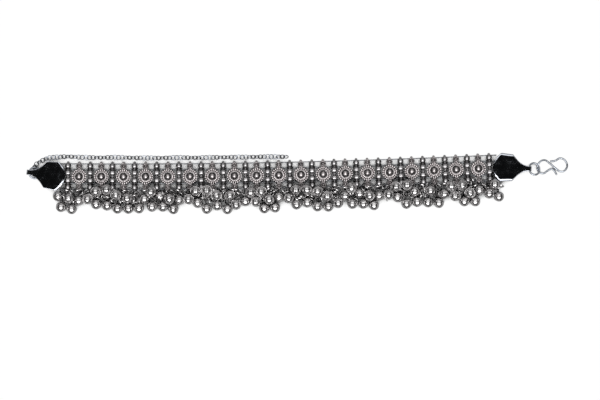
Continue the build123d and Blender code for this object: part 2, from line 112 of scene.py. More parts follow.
CHAIN_RADIUS = 1.175
LINK_REST = 0.15
CHAIN_ROUTE = (
    # along, across
    (-119.5, 7.75), (-118.9, 8.90), (-117.0, 9.95), (-115.0, 10.95), (-112.7, 11.55),
    (-109.4, 11.75), (-104.6, 12.15), (-99.0, 11.65), (-91.5, 11.50), (-83.0, 11.70),
    (-74.5, 11.45), (-64.0, 11.35), (-54.0, 11.60), (-44.0, 11.45), (-34.5, 11.75),
    (-25.5, 11.70), (-16.0, 12.00), (-4.6, 11.95),
)

DROPS = UNITS + 1
DROPS_PER_NODE = 4
BELL_RADIUS = 2.3
BELL_RIM_RADIUS = 2.42
BELL_EYE = 2.65
LOOP_RADIUS = 1.42
LOOP_WIRE = 0.22
WIRE_PLAY = LOOP_RADIUS - LOOP_WIRE - RAIL_RADIUS  # farthest a jump ring's centre is from its wire
RING_PLAY = 2 * (LOOP_RADIUS - LOOP_WIRE)  # farthest two linked jump rings' centres are apart
LEAST_FROM_WIRE = 0.55
LEAST_FROM_RING = 1.3
GAP = 0.12

# How the drops are let down, taken in turn: the ring that the short bell hangs on, and how far out,
# how high and how far to the side each bell starts.
LAY = (
    # ring, short out, short up, short side, long out, long up, long side
    (0, 3.2, 2.4, -0.6, 8.9, 2.4, 1.0),
    (1, 6.9, 5.6, 0.5, 5.6, 2.4, -0.9),
    (0, 0.6, 5.4, 0.4, 8.4, 2.4, 0.6),
    (1, 4.6, 5.4, -0.3, 9.6, 2.4, -0.7),
    (0, 3.6, 2.4, 0.7, 7.6, 5.0, 1.3),
    (1, 6.4, 5.6, -1.2, 9.2, 2.4, -1.4),
    (0, 1.2, 5.4, 0.2, 7.0, 2.4, 0.8),
    (0, 3.4, 5.0, -0.8, 9.0, 2.4, 0.3),
    (1, 5.8, 2.4, 0.9, 8.6, 5.2, -0.4),
)
LAY_STRIDE = 5
BELL_SWAY = 0.7  # largest uneven offset outwards from the lay
SHORT_SIDE_SWAY = 0.4
LONG_SIDE_SWAY = 0.5
FALL_STEPS = 90
FALL_PER_STEP = 0.03
REST_STEPS = 250

# The seven points of a drop: its jump rings, the eyes of its short and long bell, and the bells.
DROP_KINDS = ("ring", "ring", "ring", "eye", "eye", "bell", "bell")
DROP_POINTS = len(DROP_KINDS)
BULK = {"ring": 1.05, "eye": 0.35, "bell": BELL_RIM_RADIUS}  # radius kept clear of a bell
LOWEST = {"ring": 1.15, "eye": 0.5, "bell": BELL_RIM_RADIUS + 0.02}
RINGS_APART = 2.0
RING_AT_POST = 0.35
POST_REACH = 9  # how far along the band a point's obstacles are looked for
NEIGHBOURS = 4  # drops whose points may touch, counted from the drop itself

# Round obstacles that the bells rest against, as across, height and radius: an end bead, a lug, an
# inner bead and the neck between them.
UNIT_POSTS = (
    (-END_BEAD_Y, END_BEAD_Z, END_BEAD_RADIUS),
    (-OUTER_RAIL, RAIL_Z, LUG_RADIUS + 0.05),
    (-2.6, 2.2, 1.5),
    (-3.6, 1.6, 1.1),
)
WIRE_POST_RADIUS = 0.5
CAP_POST_RADIUS = 2.2
CAP_POST_UP = -4.4
CAP_POST_TURN = 8.0  # distance from the mouth where the posts begin to follow the waist
CAP_POSTS = range(3, 14)  # distances out from the mouth

# ---- sizes of the visible pieces only

BELL_REACH, FIXED_REACH, RING_REACH = 6, 4, 3.6  # how far along the band a ring may meet these
RING_CHECKS = 20  # points round a ring where its room is measured
RING_TURNS = 24  # turns that are tried for each ring
SPARES = 6  # most spare rings at a drop
SPARE_BESIDE = 1.3  # along the wire from the drop
SPARE_LEAN = 0.4
SPARE_ON_WIRE = 0.9  # from the wire to a spare ring's centre
SPARE_ON_RING = 2.1
SPARES_APART = 1.0
SPARE_ROOM = -0.14  # least room for a spare ring, which may graze its neighbours
WIRE_RISES = (-0.1, 0.3, 0.8, 1.6)
RING_PULLS = [
    (math.cos(turn), math.sin(turn), rise)
    for turn in np.linspace(0, 2 * math.pi, 10, endpoint=False) for rise in (-0.3, 0.2, 0.7)
]
LEAST_FACING = 0.3  # share of a ring's facing that has to lie along the wire through it
UNLINKED = 9  # taken from the room of a ring that isn't linked as it should be
CUSHION = (2.62, 2.2)  # an inner bead, along and across
SLEEVE_HALF = 1.4
SLEEVE_RADIUS = 0.7
PETALS = 20
DISC_RADIUS = 3.4
DISC_BOTTOM = DISC_TOP - 0.6
GROOVE = 0.18
GRANULE_CIRCLE = 3.08
FLOWER_RING_RADIUS = 1.66
DOME_Z = 2.35
EYELET_RADIUS = 1.375
LINK_PITCH = 1.66
LINK_RADIUS = 1.08
BELL_WALL = 0.25
SLOT_HALF = 0.07
SLOT_TOP = -1.75
EYE_RADIUS = 0.35
EYE_WIRE = 0.14


def mirrored(profile):
    """A profile, given as radius and height, followed by its mirror image above zero height."""
    return [*profile, *((radius, -height) for radius, height in reversed(profile))]


# Turned profiles, as radius and height.
LUG = mirrored([(0.4, -0.6), (0.75, -0.58), (1.02, -0.42), (LUG_RADIUS, -0.15)])
SLEEVE = mirrored([(0.4, -SLEEVE_HALF), (0.6, -SLEEVE_HALF), (SLEEVE_RADIUS, 0.12 - SLEEVE_HALF)])
NECK = mirrored([
    (0.0, -4.4), (0.6, -4.4), (0.6, -3.1), (0.8, -3.0), (0.6, -2.9), (0.6, -0.3), (1.1, -0.22),
])
DISC = (
    (0.0, DISC_BOTTOM), (3.2, DISC_BOTTOM), (DISC_RADIUS, DISC_BOTTOM + 0.15),
    (DISC_RADIUS, DISC_TOP - 0.45), (2.78, DISC_TOP - 0.4), (2.66, DISC_TOP - 0.12),
    (2.45, DISC_TOP + 0.06), (2.15, DISC_TOP + 0.16), (1.85, DISC_TOP + 0.1), (1.55, DISC_TOP),
    (1.45, DISC_TOP - 0.35), (0.0, DISC_TOP - 0.4),
)
EYELET = (
    (0.0, 1.75), (1.3, 1.75), (EYELET_RADIUS, 1.85), (EYELET_RADIUS, 2.45), (1.28, 2.68),
    (1.06, 2.8), (0.86, 2.7), (0.75, 2.45), (0.7, 2.1), (0.35, 2.3), (0.0, 2.38),
)
CURL = mirrored([(CURL_HOLE, -1.12), (1.15, -1.12), (1.2, -1.07), (1.2, -1.0)])

# A cap's half-width past its shoulder, and its top and back, at distances out from its mouth.
CAP_HALF_WIDTHS = (
    (9.0, 5.72), (9.5, 5.12), (10.0, 4.48), (10.6, 3.82), (11.2, 3.25), (12.0, 2.6), (12.8, 2.1),
    (13.7, 1.68), (14.6, 1.4), (15.4, 1.22), (16.0, 1.12),
)
CAP_TOP = ((0, CAP_HEIGHT), (7.4, CAP_HEIGHT), (9.0, 4.02), (12.4, 3.45), (CURL_X, 3.25))
CAP_BACK = ((0, 0), (7.9, 0.0), (9.0, 0.28), (12.2, 2.5), (CURL_X, 2.5))
MOUTH_DEPTHS = (8.0, 6.0, 4.0, 2.0, 0.6)  # how far in the sections of the mouth's pocket are
MOUTH_LIP = ((0.1, 0.5), (0.0, 0.3), (0.05, 0.08))  # out, inset
SHOULDER_STEPS = 16
ROUND_STEPS = 6
FLAT_STEPS = 26
DENT_RADIUS = 0.85
DENT_DEPTH = 0.04


def on_band(along, across=0.0):
    """Point at a distance along the band from its middle and across it, as x and y."""
    heading = BAND_RISE + along / BAND_RADIUS
    x = BAND_MIDDLE[0] + BAND_RADIUS * (math.sin(heading) - math.sin(BAND_RISE))
    y = BAND_MIDDLE[1] + BAND_RADIUS * (math.cos(BAND_RISE) - math.cos(heading))
    return x - across * math.sin(heading), y + across * math.cos(heading)


def spaced(k, count):
    """Distance from the band's middle to the k-th of a centred row at the units' pitch."""
    return (k - (count - 1) / 2) * UNIT_PITCH


def cap_point(cap, out, up):
    """Point on a cap at a distance out from its mouth and across it, as x and y."""
    side = -1 if cap is CAP_LEFT else 1
    tilt = math.radians(cap["tilt"])
    x = cap["mouth"][0] + side * out * math.cos(tilt) + up * math.sin(tilt) * -side
    y = cap["mouth"][1] + out * math.sin(tilt) + up * math.cos(tilt)
    return x, y


# ---- how the bells come to rest

def drop_particles():
    """Starting points of every drop and the distances that hold each one together."""
    points, ties, ring_of_short = [], [], []
    for k in range(DROPS):
        ring, short_out, short_up, short_side, long_out, long_up, long_side = LAY[
            k * LAY_STRIDE % len(LAY)
        ]
        sway = math.sin(2.4 * k)
        short_out += BELL_SWAY * sway
        long_out += BELL_SWAY * math.sin(3.9 * k + 1)
        short_side += SHORT_SIDE_SWAY * math.sin(1.7 * k + 2)
        long_side += LONG_SIDE_SWAY * sway
        x, y = on_band(spaced(k, DROPS), -OUTER_RAIL)
        eye_drop = 1.5 if ring else 0.8
        first = len(points)
        # Each drop starts as a loose line of rings, eyes and bells out from the wire.
        points += [
            [x, y - 0.8, 1.75],
            [x + 0.3 * long_side, y - 0.35 * long_out, 1.3],
            [x + 0.6 * long_side, y - 0.6 * long_out, 1.3],
            [x + 0.5 * short_side, y - max(0.4, short_out - 2.2), short_up - eye_drop],
            [x + 0.8 * long_side, y - long_out + 2.4, max(1.0, long_up - 0.6)],
            [x + short_side, y - short_out, short_up],
            [x + long_side, y - long_out, long_up],
        ]
        ring_1, ring_2, ring_3, short_eye, long_eye, short_bell, long_bell = range(first, first + 7)
        ties += [
            (ring_1, (x, y, RAIL_Z), LEAST_FROM_WIRE, WIRE_PLAY),
            (ring_2, ring_1, LEAST_FROM_RING, RING_PLAY),
            (ring_3, ring_2, LEAST_FROM_RING, RING_PLAY),
            (short_eye, ring_1 + ring, LOOP_RADIUS - 0.1, LOOP_RADIUS + 0.05),
            (long_eye, ring_3, LOOP_RADIUS - 0.1, LOOP_RADIUS + 0.05),
            (short_bell, short_eye, BELL_EYE, BELL_EYE),
            (long_bell, long_eye, BELL_EYE, BELL_EYE),
            (short_bell, ring_1 + ring, BELL_EYE + 0.2, math.inf),
            (long_bell, ring_3, BELL_EYE + 0.2, math.inf),
        ]
        ring_of_short.append(ring)
    return points, ties, ring_of_short


def posts():
    """Round obstacles that the bells rest against: beads, lugs, units, wire and cap edges."""
    found = [
        (*on_band(spaced(k, UNITS), across), height, radius)
        for k in range(UNITS) for across, height, radius in UNIT_POSTS
    ]
    for k in range(2 * UNITS + 2):
        wire_point = on_band((k - UNITS) * UNIT_PITCH / 2, -OUTER_RAIL)
        found.append((*wire_point, RAIL_Z, WIRE_POST_RADIUS))
    for cap in (CAP_LEFT, CAP_RIGHT):
        for out in CAP_POSTS:
            up = CAP_POST_UP + max(0.0, out - CAP_POST_TURN)
            found.append((*cap_point(cap, out, up), CAP_HEIGHT / 2, CAP_POST_RADIUS))
    return found


def tie(p, q, nearest, farthest=math.inf, q_moves=True):
    """Bring two points within their range of distances by moving both, or only the first."""
    gap = [q[i] - p[i] for i in range(3)]
    # Most points are far enough from each other along the band alone.
    if farthest == math.inf and abs(gap[0]) >= nearest:
        return
    distance = math.hypot(*gap)
    wanted = min(max(distance, nearest), farthest)
    if wanted == distance:
        return
    share = (distance - wanted) / distance
    if q_moves:
        share *= 0.5
    for i in range(3):
        p[i] += share * gap[i]
        if q_moves:
            q[i] -= share * gap[i]


def settle_drops():
    """Let the drops fall on the surface, the band and each other, and return their points."""
    points, ties, ring_of_short = drop_particles()
    kinds = DROP_KINDS * DROPS
    # Within a drop, each bell is kept off the rings that it doesn't hang on.
    own = [
        [(0, 5) if ring else (1, 5), (2, 5), (4, 5), (0, 6), (1, 6), (3, 6), (5, 6)]
        for ring in ring_of_short
    ]
    pairs = []
    for i, kind in enumerate(kinds):
        drop = i // DROP_POINTS
        for j in range(i + 1, min(len(kinds), DROP_POINTS * (drop + NEIGHBOURS))):
            both = {kind, kinds[j]}
            within = (i % DROP_POINTS, j % DROP_POINTS)
            if drop == j // DROP_POINTS and within not in own[drop]:
                continue
            if both == {"ring"}:
                pairs.append((i, j, RINGS_APART))
            elif "bell" in both:
                pairs.append((i, j, BULK[kind] + BULK[kinds[j]] + GAP))
    fixed = posts()
    against = []
    for point, kind in zip(points, kinds):
        if kind != "eye":
            size = BELL_RIM_RADIUS if kind == "bell" else RING_AT_POST
            near = [post for post in fixed if abs(post[0] - point[0]) < POST_REACH]
            against.append((point, [(post, size + post[3] + GAP) for post in near]))

    for step in range(FALL_STEPS + REST_STEPS):
        if step < FALL_STEPS:
            for point in points:
                point[2] -= FALL_PER_STEP
        for i, j, least in pairs:
            tie(points[i], points[j], least)
        for point, near in against:
            for post, least in near:
                tie(point, post, least, q_moves=False)
        for i, other, nearest, farthest in ties:
            moves = isinstance(other, int)
            tie(points[i], points[other] if moves else other, nearest, farthest, moves)
        for point, kind in zip(points, kinds):
            point[2] = max(point[2], LOWEST[kind])
    return points, ring_of_short


# ---- how the jump rings lie

def ring_axes(points, ring_of_short, k):
    """Centre and pull direction of a drop's three jump rings."""
    first = DROP_POINTS * k
    ring_1, ring_2, ring_3, short_eye, long_eye = [np.array(p) for p in points[first : first + 5]]
    last = (ring_3, long_eye - ring_3)
    if ring_of_short[k]:
        return [(ring_1, ring_2 - ring_1), (ring_2, short_eye - ring_2), last]
    return [(ring_1, short_eye - ring_1), (ring_2, ring_3 - ring_1), last]


def least_clearance(ring, others, sizes):
    """Smallest gap between a ring's wire and round things near it."""
    if not len(others):
        return math.inf
    gaps = np.linalg.norm(ring[:, None] - others[None], axis=2).min(0) - sizes
    return float(gaps.min()) - LOOP_WIRE


def passes_once(ring, centre, normal):
    """Whether a ring goes through the hole of an earlier one exactly once."""
    side = (ring - centre) @ normal
    after = np.roll(side, -1)
    crossing = np.nonzero(side * after < 0)[0]
    share = (side[crossing] / (side[crossing] - after[crossing]))[:, None]
    hits = ring[crossing] + share * (np.roll(ring, -1, 0)[crossing] - ring[crossing])
    return int((np.linalg.norm(hits - centre, axis=1) < LOOP_RADIUS).sum()) == 1


def through(earlier):
    """Test of whether a ring goes through an earlier one."""
    centre, pull, across = earlier
    return lambda ring, normal, own: passes_once(ring, centre, np.cross(pull, across))


def on_wire(wire):
    """Test of whether the band's wire goes through a ring, past the wire's point beside it."""
    def fits(ring, normal, own):
        if abs(normal[0]) < LEAST_FACING:
            return False
        run = (own - wire) @ normal / normal[0]
        return np.linalg.norm(wire + (run, 0, 0) - own) < WIRE_PLAY
    return fits


def unit(vector):
    """A direction of length 1."""
    return np.array(vector) / np.linalg.norm(vector)


def wire_at(k, beside=0.0):
    """Point of the band's wire at a drop or beside it."""
    return np.array([*on_band(spaced(k, DROPS) + beside, -OUTER_RAIL), RAIL_Z])


def lie_of_rings(points, ring_of_short):
    """Turn each jump ring about its pull until it lies clear, linked to its neighbours.

    Returns, for each drop, its rings as (centre, pull direction, direction across it). The first
    three carry the bells, and spare rings follow where there is room.
    """
    bells = np.array([point for point, kind in zip(points, DROP_KINDS * DROPS) if kind == "bell"])
    fixed = np.array(posts())
    # Places, radii and how far along the band they matter.
    round_things = (
        (bells, np.full(len(bells), BELL_RIM_RADIUS), BELL_REACH),
        (fixed[:, :3], fixed[:, 3], FIXED_REACH),
    )
    around = np.linspace(0, 2 * math.pi, RING_CHECKS, endpoint=False)[:, None]
    rings = []

    def best_turn(centre, pull, fits):
        """The turn about its pull that leaves a ring the most room, and how much that is."""
        level = unit(np.cross(pull, (0, 0, 1)))
        upright = np.cross(pull, level)
        near = []
        for places, radii, reach in round_things:
            close = np.abs(places[:, 0] - centre[0]) < reach
            near.append((places[close], radii[close]))
        wires = [ring for ring, x in rings if abs(x - centre[0]) < RING_REACH]
        near.append((np.concatenate(wires) if wires else wires, LOOP_WIRE))
        best = None
        for turn in np.linspace(0, math.pi, RING_TURNS, endpoint=False):
            across = math.cos(turn) * level + math.sin(turn) * upright
            ring = centre + LOOP_RADIUS * (np.cos(around) * pull + np.sin(around) * across)
            lowest = ring[:, 2].min()
            clear = min(lowest - LOOP_WIRE, *(least_clearance(ring, *things) for things in near))
            if not fits(ring, np.cross(pull, across), centre):
                clear -= UNLINKED
            if best is None or clear > best[0]:
                lift = np.array([0, 0, max(0.0, LOOP_WIRE + 0.02 - lowest)])
                best = (clear, ring + lift, (centre + lift, pull, across))
        return best

    laid = []
    for k in range(DROPS):
        chosen = []
        for centre, pull in ring_axes(points, ring_of_short, k):
            fits = through(chosen[-1]) if chosen else on_wire(wire_at(k))
            _, ring, lie = best_turn(centre, unit(pull), fits)
            rings.append((ring, centre[0]))
            chosen.append(lie)
        laid.append(chosen)
    for k, chosen in enumerate(laid):
        # Spare rings hang on the wire beside each drop and on the drop's own rings.
        starts = []
        for side in (-1, 1):
            wire = wire_at(k, side * SPARE_BESIDE)
            pulls = [(side * SPARE_LEAN, -1, rise) for rise in WIRE_RISES]
            starts.append((wire, SPARE_ON_WIRE, on_wire(wire), pulls))
        starts += [(lie[0], SPARE_ON_RING, through(lie), RING_PULLS) for lie in chosen]
        tries = []
        for start, reach, fits, pulls in starts:
            tries += [best_turn(start + reach * pull, pull, fits) for pull in map(unit, pulls)]
        for room, ring, lie in sorted(tries, key=lambda best: -best[0]):
            apart = min(np.linalg.norm(lie[0] - other[0]) for other in chosen)
            if room > SPARE_ROOM and apart > SPARES_APART and len(chosen) < 3 + SPARES:
                chosen.append(lie)
                rings.append((ring, lie[0][0]))
    return laid


# ---- shaping helpers

def moved(x=0.0, y=0.0, z=0.0, axis=None, angle=math.pi / 2):
    """Place at a point, turned by a quarter or another angle about an axis if one is given."""
    place = Matrix.Translation((x, y, z))
    return place @ Matrix.Rotation(angle, 4, axis) if axis else place


def new_verts(bm, before):
    """Vertices that a bmesh didn't have before."""
    return [vert for vert in bm.verts if vert not in before]


def turned(bm, profile, steps, place=Matrix(), closed=True):
    """Turn a profile, given as radius and height, once about Z and put the result in its place."""
    before = set(bm.verts)
    verts = [bm.verts.new((radius, 0, height)) for radius, height in profile]
    edges = [bm.edges.new(pair) for pair in zip(verts, verts[1:])]
    if closed:
        edges.append(bm.edges.new((verts[-1], verts[0])))
    bmesh.ops.spin(
        bm, geom=verts + edges, cent=(0, 0, 0), axis=(0, 0, 1), dvec=(0, 0, 0),
        angle=2 * math.pi, steps=steps, use_merge=True,
    )
    bmesh.ops.transform(bm, matrix=place, verts=new_verts(bm, before))


def wire_ring(bm, radius, wire, steps, sides, place=Matrix()):
    """A closed ring of round wire."""
    angles = [2 * math.pi * i / sides for i in range(sides)]
    profile = [(radius + wire * math.cos(angle), wire * math.sin(angle)) for angle in angles]
    turned(bm, profile, steps, place)


def ball(bm, radius, place, around=24, down=12):
    """A round bead."""
    bmesh.ops.create_uvsphere(bm, u_segments=around, v_segments=down, radius=radius, matrix=place)


def block(bm, size, place, corner, segments=2):
    """A block with rounded edges."""
    made = bmesh.ops.create_cube(bm, size=1, matrix=place @ Matrix.Diagonal((*size, 1)))
    edges = {edge for vert in made["verts"] for edge in vert.link_edges}
    bmesh.ops.bevel(
        bm, geom=list(edges), offset=corner, segments=segments, profile=0.5,
        affect="EDGES", material=-1,
    )


def frame_of(centre, along, across):
    """Place whose X runs along one direction and whose Y lies as near as it can to another."""
    x_axis = Vector(along).normalized()
    z_axis = x_axis.cross(Vector(across)).normalized()
    turn = Matrix((x_axis, z_axis.cross(x_axis), z_axis)).transposed().to_4x4()
    return Matrix.Translation(Vector(centre)) @ turn


def below(at, top, depth):
    """Darkening that begins at a height and is black a depth further down: sulphide in hollows, and
    painted shade on rounded sides.
    """
    return (top - at.z) / depth


def tarnished_and_shaded(bm, tarnish_and_shade):
    """Store how dark each point is, from 0, rubbed bright, to 1, black: sulphide, and on some parts
    painted shade.
    """
    layer = bm.verts.layers.float.new("tarnish_and_shade")
    for vert in bm.verts:
        vert[layer] = min(1.0, max(0.0, tarnish_and_shade(vert.co)))


def closed_up(bm):
    """Merge a bmesh where it meets itself and turn its faces outwards."""
    bmesh.ops.remove_doubles(bm, verts=bm.verts, dist=0.001)
    bmesh.ops.recalc_face_normals(bm, faces=bm.faces)


def shaped(name, bm, merge=True):
    """A mesh in millimetres from a bmesh."""
    if merge:
        closed_up(bm)
    mesh = bpy.data.meshes.new(name)
    bm.to_mesh(mesh)
    bm.free()
    return mesh


def joined(bm, template, place):
    """Add a copy of a finished shape to a bmesh."""
    before = set(bm.verts)
    bm.from_mesh(template)
    bmesh.ops.transform(bm, matrix=place, verts=new_verts(bm, before))


def shown(name, thing):
    """Add an object with this data to the scene."""
    holder = bpy.data.objects.new(name, thing)
    bpy.context.scene.collection.objects.link(holder)
    return holder


def piece(name, mesh, material, node_name, sharp=40):
    """Show a finished mesh in the frame, in place of the CAD node that it stands for."""
    mesh.transform(Matrix.Scale(MM, 4))
    mesh.shade_smooth()
    mesh.set_sharp_from_angle(angle=math.radians(sharp))
    mesh.materials.clear()
    mesh.materials.append(material)
    thing = shown(name, mesh)
    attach(thing, "root")
    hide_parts(node_name)


def band_matrix(along):
    """Place on the band, turned to its heading there."""
    return moved(*on_band(along), 0, "Z", BAND_RISE + along / BAND_RADIUS)


# ---- finishes

def linear(code):
    """Linear colour from an sRGB hex value."""
    parts = [int(code[i : i + 2], 16) / 255 for i in (1, 3, 5)]
    return tuple(c / 12.92 if c <= 0.04045 else ((c + 0.055) / 1.055) ** 2.4 for c in parts)


def per_metre(millimetres):
    """Texture scale for a pattern whose repeats are this far apart."""
    return 1 / (millimetres * MM)


def add_node(tree, kind, result=None, inputs=(), **settings):
    """Add a node with its settings and its inputs, each a value or the result of another node.

    It returns the result that is asked for, or the node. Inputs go by name or number.
    """
    made = tree.nodes.new("ShaderNode" + kind)
    for key, value in settings.items():
        setattr(made, key, value)
    for socket, value in dict(inputs).items():
        if isinstance(value, bpy.types.NodeSocket):
            tree.links.new(value, made.inputs[socket])
        else:
            made.inputs[socket].default_value = value
    return made if result is None else made.outputs[result]


def fresh_tree(owner):
    """An emptied node tree."""
    owner.use_nodes = True
    owner.node_tree.nodes.clear()
    return owner.node_tree


def new_material(name):
    """An empty material, its node tree and the object coordinates that its patterns follow."""
    material = bpy.data.materials.new(name)
    tree = fresh_tree(material)
    return material, tree, add_node(tree, "TexCoord", "Object")


def surfaced(material, inputs):
    """Give a material its surface, from values and from the results of its nodes."""
    shader = add_node(material.node_tree, "BsdfPrincipled", "BSDF", inputs)
    add_node(material.node_tree, "OutputMaterial", inputs={"Surface": shader})
    return material


# Sockets of a colour Mix node, whose names repeat.
MIX_SHARE, MIX_FIRST, MIX_SECOND, MIX_RESULT = 0, 6, 7, 2


def silver(name, bright, tarnish_and_shade, smooth, rough, grain, cloud, relief):
    """Silver with black sulphide in its recesses and painted shade on the sides of some rounded
    parts, broken up by clouds.

    The rubbed parts are smoother than the black ones. Grain, cloud and relief are in millimetres.
    """
    material, tree, place = new_material(name)
    depth = add_node(tree, "Attribute", "Fac", attribute_name="tarnish_and_shade")
    clouds, fine = [
        add_node(tree, "TexNoise", "Fac", {"Scale": per_metre(size), "Detail": d, "Vector": place})
        for size, d in ((cloud, 3.0), (grain, 2.0))
    ]
    # Clouds move the edge of the dark share, sulphide and painted shade alike, up and down the
    # sides of each recess.
    shift = 0.28
    spread = add_node(tree, "MapRange", "Result", {
        "From Min": 0.3, "From Max": 0.7, "To Min": -shift, "To Max": shift, "Value": clouds,
    })
    black = add_node(tree, "Math", "Value", {0: depth, 1: spread}, operation="ADD", use_clamp=True)
    colour = add_node(
        tree, "Mix", MIX_RESULT,
        {MIX_SHARE: black, MIX_FIRST: (*bright, 1), MIX_SECOND: (*tarnish_and_shade, 1)}, data_type="RGBA",
    )
    polish = add_node(
        tree, "MapRange", "Result", {"To Min": smooth, "To Max": rough, "Value": black}
    )
    scuff = 0.12
    scuffed = add_node(
        tree, "Math", "Value", {0: fine, 1: scuff, 2: polish}, operation="MULTIPLY_ADD"
    )
    bump = add_node(
        tree, "Bump", "Normal", {"Strength": 0.35, "Distance": relief * MM, "Height": fine}
    )
    # Sulphide isn't a metal, so the blackest parts, painted shade among them, shine less.
    bare = add_node(tree, "MapRange", "Result", {
        "From Min": 0.35, "From Max": 1.0, "To Min": 1.0, "To Max": 0.25, "Value": black,
    })
    return surfaced(material, {
        "Base Color": colour, "Roughness": scuffed, "Normal": bump, "Metallic": bare,
    })


def mirror_plate(name, colour, sheen):
    """Silver-plated sheet, polished to a mirror.

    It gives back the dark above it, with faint buffing clouds and waves that bend the reflection.
    """
    material, tree, place = new_material(name)
    clouds, waves = [
        add_node(tree, "TexNoise", "Fac", {"Scale": per_metre(size), "Detail": d, "Vector": place})
        for size, d in ((3.0, 4.0), (4.5, 1.0))
    ]
    polish = add_node(tree, "MapRange", "Result", {
        "From Min": 0.35, "From Max": 0.75, "To Min": sheen, "To Max": sheen + 0.08,
        "Value": clouds,
    })
    bump = add_node(
        tree, "Bump", "Normal", {"Strength": 0.5, "Distance": 0.06 * MM, "Height": waves}
    )
    return surfaced(material, {
        "Metallic": 1.0, "Base Color": (*colour, 1), "Roughness": polish, "Normal": bump,
    })


def drawn_wire(name, bright, dull, sheen):
    """Drawn silver wire: bright, with a thin uneven film where fingers don't rub it."""
    material, tree, place = new_material(name)
    film = add_node(
        tree, "TexNoise", "Fac", {"Scale": per_metre(1.2), "Detail": 3.0, "Vector": place}
    )
    share = add_node(
        tree, "MapRange", "Result", {"From Min": 0.35, "From Max": 0.7, "Value": film}
    )
    colour = add_node(
        tree, "Mix", MIX_RESULT,
        {MIX_SHARE: share, MIX_FIRST: (*bright, 1), MIX_SECOND: (*dull, 1)}, data_type="RGBA",
    )
    polish = add_node(
        tree, "MapRange", "Result", {"To Min": sheen, "To Max": sheen + 0.15, "Value": share}
    )
    return surfaced(material, {
        "Metallic": 1.0, "Base Color": colour, "Roughness": polish,
    })


# ---- what a user can change

def length(name, description, millimetres):
    """A size that a user can change."""
    return bpy.props.FloatProperty(
        name=name, description=description, default=millimetres * MM, min=0.0, unit="LENGTH",
        precision=5,
    )


def tint(name, description, code):
    """A colour that a user can change."""
    return bpy.props.FloatVectorProperty(
        name=name, description=description, default=linear(code), min=0.0, max=1.0, size=3,
        subtype="COLOR",
    )


class PayalSizes(bpy.types.PropertyGroup):
    """Sizes of the anklet's small parts."""

    bell: length("Bell radius", "Outside radius of a bell's shell", BELL_RADIUS)
    rim: length("Bell rim radius", "Outside radius of the rim where a bell's halves meet", 2.41)
    ring_wire: length("Jump ring wire", "Radius of the wire of the small jump rings", LOOP_WIRE)
    link_wire: length("Link wire", "Radius of the wire of the extension chain's links", 0.21)
    end_bead: length("End bead", "Radius of the round beads along both edges", END_BEAD_RADIUS)
    granule: length("Granule", "Radius of the granules round a flower", 0.48)
    flower_wire: length("Flower ring wire", "Radius of the wire ring on a flower", 0.2)
    dome: length("Flower dome", "Radius of the dome in the middle of a flower", 1.32)
    clasp_wire: length("Clasp wire", "Radius of the wire of the S-hook", HOOK_WIRE - 0.02)


class PayalColours(bpy.types.PropertyGroup):
    """Colours of the anklet's silver and of the stage."""

    bead: tint("Bead silver", "Rubbed silver of the bead columns", "#b5b3b4")
    flower: tint("Flower silver", "Rubbed silver of the flowers, slightly warm", "#cdc7c7")
    bell: tint("Bell silver", "Rubbed silver of the bells", "#d8d6d6")
    # Besides sulphide in the recesses, this black is painted shade on the sides of beads, domes,
    # bells and rings.
    tarnish_and_shade: tint("Tarnish", "Silver sulphide in the recesses", "#1c1a1b")
    plate: tint("Mirror plate", "Polished sheet of the end caps", "#d3d7df")
    wire: tint("Bright wire", "Rubbed drawn wire", "#b7bcc4")
    film: tint("Wire film", "Drawn wire where it is dull", "#8d9198")
    threading: tint("Threading wire", "Dull wire that the units are threaded on", "#85878b")
    floor: tint("Floor", "Dark colour of the board, which glows white where it is open", "#1e1e1e")


# ---- the pieces

def strap_and_lugs(bm):
    """The flat strap behind a unit and the two eyes that the outer wires run through."""
    height = STRAP_TOP - STRAP_BOTTOM
    size = (STRAP_WIDTH, 2 * OUTER_RAIL, height)
    block(bm, size, moved(z=STRAP_BOTTOM + height / 2), 0.14)
    for side in (1, -1):
        turned(bm, LUG, 20, moved(0, side * OUTER_RAIL, RAIL_Z, "Y"))


def column_shape(sizes):
    """One bead column: two round end beads, two cushion beads and the neck between them."""
    bm = bmesh.new()
    strap_and_lugs(bm)
    cushion = (*CUSHION, 2 * (INNER_BEAD_TOP - NECK_Z))
    for side in (1, -1):
        ball(bm, sizes.end_bead / MM, moved(0, side * END_BEAD_Y, END_BEAD_Z))
        block(bm, cushion, moved(0, side * INNER_BEAD_Y, NECK_Z), 0.95, 5)
    turned(bm, NECK, 16, moved(z=NECK_Z, axis="X"))
    for side in (1, -1):
        turned(bm, SLEEVE, 16, moved(0, side * INNER_RAIL, RAIL_Z, "Y"))

    # Lower is darker: sulphide in the hollows, and painted shade down the sides of the beads.
    def tarnish_and_shade(at):
        across = abs(at.y)
        if across > OUTER_RAIL + 0.1:
            return 0.0
        # The end beads are black but for a cap on top: painted shade round their highlight.
        if across > 3.55:
            return below(at, 3.4, 0.35)
        if across < 0.5 or across > 2.8:
            return below(at, 3.4, 0.8)
        return below(at, 3.0, 0.6)

    tarnished_and_shaded(bm, tarnish_and_shade)
    return shaped("column", bm)


